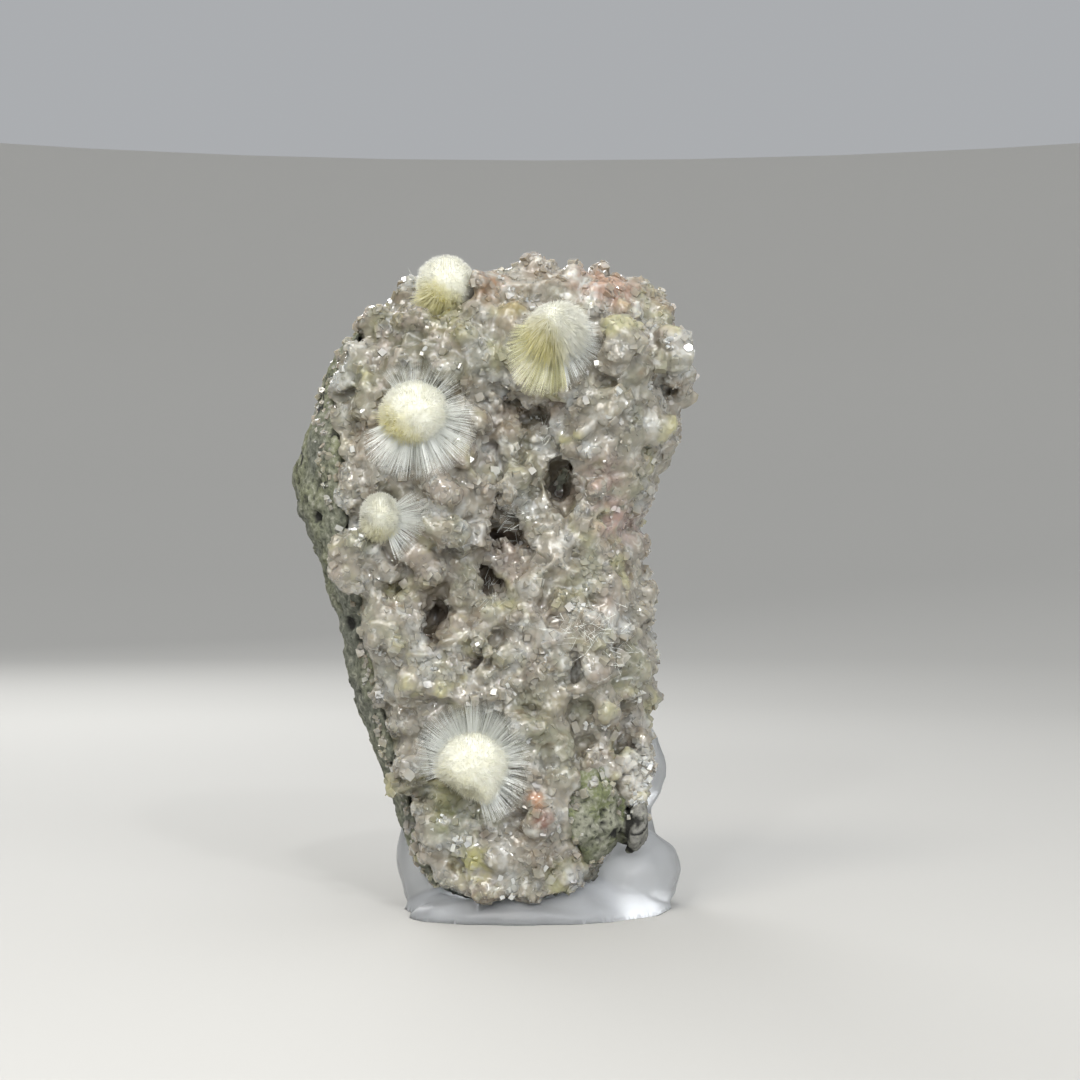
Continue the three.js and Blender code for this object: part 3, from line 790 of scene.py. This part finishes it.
# The second layer paints the white crystals, and a few crystals in a hundred at random, near white: the
# first are their own colour, the rest painted glints.
layers = [(tone, 0.0, 1.0, 0.25, "#b4b0a2"), (tone, 0.985, 0.995, 0.85, "#d8d7cf")]
tint = layered(crystal, tint, layers)
shader = add(
    crystal,
    "BsdfPrincipled",
    {
        "Base Color": tint,
        "Roughness": 0.1,
        "IOR": 1.53,
        "Transmission Weight": 0.15,
        "Subsurface Weight": 0.6,
        "Subsurface Radius": (1.0, 0.85, 0.65),
        "Subsurface Scale": 1.2 * mm,
        "Coat Weight": 0.5,
        "Coat Roughness": 0.04,
    },
    subsurface_method="RANDOM_WALK",
)
add(crystal, "OutputMaterial", {"Surface": shader.outputs[0]})
for piece in (fine, large, white, thin):
    piece.data.materials.append(crystal)
    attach(piece, "root")

# The okenite balls
# Snow-white balls of okenite, each a dense tuft of soft fibres that radiate from its middle, so
# the surface is velvet. They are yellow-tinged in their lower parts, where they are broken open.
FIBRES = 9000
FIBRE_WIDTH = 0.075 * mm
FELT_GRAIN = 0.22 * mm
# The ball whose fibres lie combed, and where they start from, in its radii from its middle.
COMBED = {"okenite_ball_upper": (-0.25, -0.35, 0.85)}
# How much of each ball is yellow, and the side that is.
YELLOW = {
    "okenite_ball_top": (1.0, Vector((-0.45, -0.1, -1))),
    "okenite_ball_upper": (1.1, Vector((-0.8, -0.2, -0.6))),
    "okenite_ball_left": (0.85, Vector((-0.8, 0.1, -0.8))),
    "okenite_ball_small": (0.6, Vector((-0.2, 0.2, -1))),
    "okenite_ball_low": (0.35, Vector((-0.5, 0, -0.8))),
}
# Where a ball is broken or flattened: the way from its middle, how wide in radii, how deep in mm.
DENTS = {
    "okenite_ball_low": [
        (Vector((-0.1, -0.45, -0.88)), 0.42, 2.2),
        (Vector((-0.6, -0.2, -0.78)), 0.75, 1.6),
        (Vector((0.4, -0.3, -0.86)), 0.5, -1.0),
    ],
    "okenite_ball_small": [
        (Vector((0.75, -0.4, 0.5)), 0.7, 0.5),
        (Vector((-0.8, -0.5, -0.3)), 0.6, 0.6),
    ],
    "okenite_ball_left": [(Vector((0.5, -0.6, 0.6)), 0.6, 0.3)],
}


def hair_shape():
    """A closed three-sided needle of unit length and width that tapers almost to a point."""
    hair = bmesh.new()
    bmesh.ops.create_cone(
        hair,
        cap_ends=True,
        cap_tris=False,
        segments=3,
        radius1=0.5,
        radius2=0.08,
        depth=1,
        matrix=Matrix.Translation((0, 0, 0.5)),
    )
    return form_of(hair)


def along(start, end, width):
    """The matrix that lays a hair from one place to another."""
    way = end - start
    turn = way.to_track_quat("Z", "Y").to_matrix().to_4x4()
    return Matrix.Translation(start) @ turn @ Matrix.Diagonal((width, width, way.length, 1))


def yellow_share(lower):
    """None over most of a ball, and little by little all of it towards its yellow side."""
    return min(1.0, max(0.0, (lower - 0.15) / 0.7))


def okenite_ball(name, seed):
    """A ball's felted body, and the fibres that stand out of it."""
    low_corner, high_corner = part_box(name)
    centre = (low_corner + high_corner) / 2
    radius = (high_corner - low_corner).x / 2
    share, side = YELLOW[name]
    side = side.normalized()

    def felt_rise(place, normal):
        """Matted tufts, the ball's own dents, and how yellow the place is."""
        tuft = 0.2 * noise.noise(place / (2 * mm)) + 0.08 * noise.noise(place / (0.5 * mm))
        way = (place - centre).normalized()
        lower = way.dot(side)
        broken = max(0.0, lower - 0.3) * noise.noise(place / (0.8 * mm))
        for dent, wide, deep in DENTS.get(name, []):
            broken -= deep / 0.6 * max(0.0, 1 - (way - dent).length / wide)
        tone = yellow_share(lower + 0.2 * noise.noise(place / (0.9 * mm))) * share
        return (tuft - 0.25 + 0.6 * broken) * mm, tone

    body = fine_skin(name.replace("okenite_ball", "ball"), copy_of(name), FELT_GRAIN, 6)
    move_out(body, felt_rise)
    body.data.attributes["hollow"].name = "tone"
    pick = random.Random(seed)
    spots = []
    faces = [(Vector(face.center), face.area) for face in body.data.polygons]
    for start, _ in pick.choices(faces, weights=[area for _, area in faces], k=FIBRES):
        way = (start - centre).normalized()
        stray = Vector([pick.gauss(0, 0.16) for _ in range(3)])
        lower = way.dot(side)
        length = pick.uniform(0.2, 0.5) * mm * (1.0 + 1.2 * max(0.0, lower - 0.2))
        if name in COMBED:
            flow = start - centre - Vector(COMBED[name]) * radius
            stray += flow.normalized() * min(2.6, flow.length / (0.8 * mm)) * pick.uniform(0.5, 1.2)
        if name == "okenite_ball_top" and lower > 0.6:
            length *= 1 + 6 * (lower - 0.6)
        tone = yellow_share(lower + pick.gauss(0, 0.08)) * share * pick.uniform(0.7, 1.0)
        tip = start + (way + stray) * length
        spots.append((0, along(start - way * 0.1 * mm, tip, FIBRE_WIDTH), tone, 0.0))
    return body, grown(body.name + "_fibres", [hair], spots)


# Okenite, a soft white fibrous mineral: light spreads inside it, and nothing on it shines.
okenite = new_finish("okenite_fibre_ball")
here = add(okenite, "TexCoord").outputs["Object"]
yellow = add(okenite, "Attribute", attribute_name="tone").outputs["Fac"]
inputs = {"Vector": here, "Scale": 1 / (1.1 * mm), "Detail": 4.0}
patchy = add(okenite, "TexNoise", inputs).outputs[0]
layers = [(patchy, 0.35, 0.65, 1.0, "#d6d5c3"), (yellow, 0.05, 0.95, 0.9, "#cdc46a")]
tint = layered(okenite, linear("#e2e2d6"), layers)
shader = add(
    okenite,
    "BsdfPrincipled",
    {
        "Base Color": tint,
        "Roughness": 0.65,
        "IOR": 1.53,
        "Subsurface Weight": 0.6,
        "Subsurface Radius": (1.0, 0.95, 0.8),
        "Subsurface Scale": 0.6 * mm,
        "Sheen Weight": 0.15,
    },
    subsurface_method="RANDOM_WALK",
)
add(okenite, "OutputMaterial", {"Surface": shader.outputs[0]})
hair = hair_shape()
for number, name in enumerate(ball_nodes):
    body, fibres = okenite_ball(name, 100 + number)
    for piece in (body, fibres):
        piece.data.materials.clear()
        piece.data.materials.append(okenite)
        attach(piece, "root")
    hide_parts(name)

# The mesolite sprays
# Hundreds of clear straight needles, thin as hairs, that fan out from the balls they grew with.
# They are 0.02 to 0.05 mm thick at the root and taper almost to nothing.
# Each spray: its ball, its lean towards the front in degrees, and its sectors, which are the first
# and last angle from +X, how far the needles reach from the ball's middle in mm, and their number.
SPRAYS = {
    "mesolite_spray_upper": (
        "okenite_ball_upper",
        8,
        [
            (172, 200, 5.2, 6.6, 160),
            (200, 245, 6.6, 8.9, 420),
            (245, 285, 8.9, 7.4, 330),
            (285, 372, 7.0, 5.2, 260),
        ],
    ),
    "mesolite_spray_left": (
        "okenite_ball_left",
        14,
        [
            (200, 225, 6.6, 8.0, 130),
            (225, 330, 8.1, 8.3, 620),
            (330, 375, 8.3, 7.2, 200),
            (375, 490, 7.0, 6.2, 150),
        ],
    ),
    "mesolite_spray_small": (
        "okenite_ball_small",
        12,
        [
            (-72, -30, 6.0, 5.6, 80),
            (-30, 10, 5.6, 6.4, 140),
            (10, 42, 6.4, 5.0, 80),
        ],
    ),
    "mesolite_spray_low": (
        "okenite_ball_low",
        16,
        [
            (-78, -50, 7.4, 7.6, 110),
            (-50, 0, 7.6, 7.2, 90),
            (0, 90, 7.2, 7.8, 360),
            (90, 160, 7.8, 7.6, 300),
            (160, 200, 7.6, 6.4, 90),
        ],
    ),
}
# How many times those numbers of needles are drawn, and how many in the densest spray.
NEEDLE_SHARE = 1.7
DENSER = {"mesolite_spray_low": 2.3}
# The upper spray is yellow up to this angle from +X, where it hangs from its ball's broken side.
YELLOW_UP_TO = 4.9


def clear_of_crust(place):
    """The place, or the one in front of it that is just clear of the crust."""
    for _ in range(14):
        near, normal, _, away = crust_tree.find_nearest(place)
        if (place - near).dot(normal) > 0.1 * mm or away > 3 * mm:
            return place
        place = place + Vector((0, -0.35 * mm, 0))
    return place


# Mesolite: colourless glassy needles that look white where they are dense, yellowish at the ball.
mesolite = new_finish("mesolite_clear_needles")
tone = add(mesolite, "Attribute", attribute_name="tone").outputs["Fac"]
tint = layered(mesolite, linear("#dfe2df"), [(tone, 0.0, 1.0, 1.0, "#d3cf8e")])
shader = add(
    mesolite,
    "BsdfPrincipled",
    {
        "Base Color": tint,
        "Roughness": 0.2,
        "IOR": 1.51,
        "Transmission Weight": 0.15,
    },
)
add(mesolite, "OutputMaterial", {"Surface": shader.outputs[0]})
for number, (name, (ball_name, lean, sectors)) in enumerate(SPRAYS.items()):
    centre, radius = ball_places[ball_nodes.index(ball_name)]
    pick = random.Random(200 + number)
    spots = []
    for first, last, reach_first, reach_last, count in sectors:
        for _ in range(int(count * DENSER.get(name, NEEDLE_SHARE))):
            share = pick.random()
            angle = math.radians(first + (last - first) * share)
            reach = (reach_first + (reach_last - reach_first) * share) * mm
            reach *= 1 - 0.3 * pick.random() ** 2
            depth = pick.uniform(-0.5, 0.35)
            flat = Vector((math.cos(angle), 0, math.sin(angle)))
            root = centre + (flat * math.cos(depth) + Vector((0, -math.sin(depth), 0))) * radius * 0.9
            forward = (reach - radius) * math.tan(math.radians(lean)) + radius * math.sin(depth) * 0.75
            tip = clear_of_crust(centre + flat * reach + Vector((0, -forward, 0)))
            yellow = name == "mesolite_spray_upper" and angle < YELLOW_UP_TO
            tone = pick.uniform(0.4, 1.0) if yellow else 0.15 * pick.random()
            spots.append((0, along(root, tip, pick.uniform(0.022, 0.048) * mm), tone, 0.0))
    spray = grown(name.replace("mesolite_spray", "needles"), [hair], spots)
    spray.data.materials.append(mesolite)
    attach(spray, "root")
    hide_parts(name)

# Stray needles
# Single needles and loose bundles of the same mesolite, grown in the cleft and in the hollows of
# the crust. They are drawn thicker than they are, so that they show.
# Bundles: middle x and z, reach, angle from +X and its spread in degrees, length in mm, number.
BUNDLES = [
    (-3.6, 50.0, 1.8, 15, 40, 3.2, 26),
    (-6.4, 41.8, 1.6, 75, 30, 2.6, 10),
    (7.2, 35.2, 3.6, 130, 45, 3.0, 40),
    (3.6, 36.6, 2.6, 20, 40, 2.6, 24),
    (1.4, 60.8, 1.4, 60, 30, 2.2, 12),
    (-5.6, 39.6, 1.2, 70, 25, 2.4, 10),
    (9.5, 33.0, 2.5, 100, 60, 2.4, 20),
    (-14.6, 78.6, 0.3, 122, 6, 2.6, 3),
]
BUNDLE_WIDTH = 0.07 * mm
# Two stiff hairs beside the top ball: root and tip in mm.
LONE_HAIRS = [((-15.6, -1.0, 79.6), (-16.9, -1.6, 82.2)), ((-14.9, -1.0, 80.2), (-15.7, -1.4, 81.9))]
LONE_WIDTH = 0.14 * mm
pick = random.Random(300)
spots = []
for x, z, reach, angle, spread, length, count in BUNDLES:
    for _ in range(count):
        aside, up = pick.gauss(0, reach * 0.5), pick.gauss(0, reach * 0.5)
        start = Vector(((x + aside) * mm, IN_FRONT * mm, (z + up) * mm))
        hit = crust_tree.ray_cast(start, Vector((0, 1, 0)))[0]
        if hit is None:
            continue
        way = math.radians(pick.gauss(angle, spread))
        half = Vector((math.cos(way), -0.12, math.sin(way))) * length * pick.uniform(0.35, 0.6) * mm
        middle = hit + Vector((0, -0.12 * mm, 0))
        spots.append((0, along(middle - half, middle + half, BUNDLE_WIDTH), 0.1, 0.0))
for root, tip in LONE_HAIRS:
    spots.append((0, along(Vector(root) * mm, Vector(tip) * mm, LONE_WIDTH), 0.1, 0.0))
strays = grown("needles_stray", [hair], spots)
strays.data.materials.append(mesolite)
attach(strays, "root")

# The putty
# A lump of clear mounting putty, pressed by hand round the specimen's foot and flattened on the
# table. It is soft and frosted by the fingers, with slow dents.
PUTTY_GRAIN = 0.5 * mm
# Below this height it is pressed flat.
FLAT_BELOW = 0.45 * mm


def putty_rise(place, normal):
    """Slow finger dents and small ripples, none at the table. The putty has no painted shade."""
    dents = 0.4 * noise.noise(place / (4.5 * mm)) + 0.1 * noise.noise(place / (1.6 * mm))
    return dents * min(1.0, place.z / (2 * mm)) * mm, 0.0


lump = fine_skin("putty", copy_of("clear_putty"), PUTTY_GRAIN, 8)
move_out(lump, putty_rise)
for point in lump.data.vertices:
    if point.co.z < FLAT_BELOW:
        point.co.z = 0.0
lump.data.update()

# Clear silicone putty: see-through and a little smoky, with a soft greasy gloss.
putty = new_finish("clear_mounting_putty")
here = add(putty, "TexCoord").outputs["Object"]
inputs = {"Vector": here, "Scale": 1 / (2.5 * mm), "Detail": 3.0}
smear = add(putty, "TexNoise", inputs).outputs[0]
bump = add(putty, "Bump", {"Strength": 0.5, "Distance": 0.2 * mm, "Height": smear}).outputs[0]
shader = add(
    putty,
    "BsdfPrincipled",
    {
        "Base Color": linear("#e4e6e8"),
        "Roughness": 0.4,
        "IOR": 1.41,
        "Transmission Weight": 0.8,
        "Normal": bump,
    },
)
fog = add(putty, "VolumeAbsorption", {"Color": linear("#c3c8cf"), "Density": 12.0})
add(putty, "OutputMaterial", {"Surface": shader.outputs[0], "Volume": fog.outputs[0]})
lump.data.materials.clear()
lump.data.materials.append(putty)
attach(lump, "root")
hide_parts("clear_putty")

# The studio
# A pale paper floor that rises in a smooth curve all round, soft lights from above and both
# sides, and three smaller lamps in front that make the crystal faces flash.
sweep = bmesh.new()
profile = [(0.0, 0.0), (0.45, 0.0), (0.62, 0.01), (0.8, 0.045), (0.95, 0.1), (1.1, 0.2), (1.2, 0.34)]
chain = [sweep.verts.new((x, 0, z)) for x, z in profile]
edges = [sweep.edges.new(pair) for pair in zip(chain, chain[1:])]
bmesh.ops.spin(
    sweep,
    geom=chain + edges,
    cent=(0, 0, 0),
    axis=(0, 0, 1),
    angle=math.tau,
    steps=72,
    use_merge=True,
)
bmesh.ops.remove_doubles(sweep, verts=sweep.verts, dist=0.01 * mm)
bmesh.ops.recalc_face_normals(sweep, faces=sweep.faces)
bmesh.ops.reverse_faces(sweep, faces=sweep.faces)
floor_mesh = bpy.data.meshes.new("floor")
sweep.to_mesh(floor_mesh)
sweep.free()
floor_mesh.shade_smooth()
floor = bpy.data.objects.new("floor", floor_mesh)
# A hair below the putty's underside, so that the two don't coincide.
floor.location.z = -0.05 * mm
bpy.context.scene.collection.objects.link(floor)
paper = new_finish("pale_paper")
shader = add(paper, "BsdfPrincipled", {"Base Color": linear("#b9b8b4"), "Roughness": 0.8})
add(paper, "OutputMaterial", {"Surface": shader.outputs[0]})
floor.data.materials.append(paper)


def lamp(name, place, size, watts, colour="#ffffff"):
    """A square lamp that faces the specimen's middle."""
    light = bpy.data.lights.new(name, "AREA")
    light.size = size
    light.energy = watts
    light.color = linear(colour)[:3]
    lamp_object = bpy.data.objects.new(name, light)
    lamp_object.location = place
    way = Vector((0, 0, 0.04)) - Vector(place)
    lamp_object.rotation_euler = way.to_track_quat("-Z", "Y").to_euler()
    bpy.context.scene.collection.objects.link(lamp_object)


lamp("key", (-0.2, -0.38, 0.45), 0.18, 1.45, "#fffaf2")
lamp("fill", (0.34, -0.62, 0.3), 0.4, 2.25, "#f4f6fb")
lamp("top", (0.0, 0.0, 1.3), 1.3, 5.0)
lamp("back", (-0.2, 0.45, 0.3), 0.25, 1.2)
lamp("flash_one", (-0.12, -0.5, 0.24), 0.03, 0.7)
lamp("flash_two", (0.16, -0.48, 0.34), 0.03, 0.6)
lamp("flash_three", (0.02, -0.42, 0.48), 0.03, 0.6)
# The room's own faint light.
sky = bpy.data.worlds.new("room")
sky.use_nodes = True
sky.node_tree.nodes["Background"].inputs["Color"].default_value = linear("#e9ecf0")
sky.node_tree.nodes["Background"].inputs["Strength"].default_value = 0.5
bpy.context.scene.world = sky
bpy.context.scene.view_settings.view_transform = "Standard"
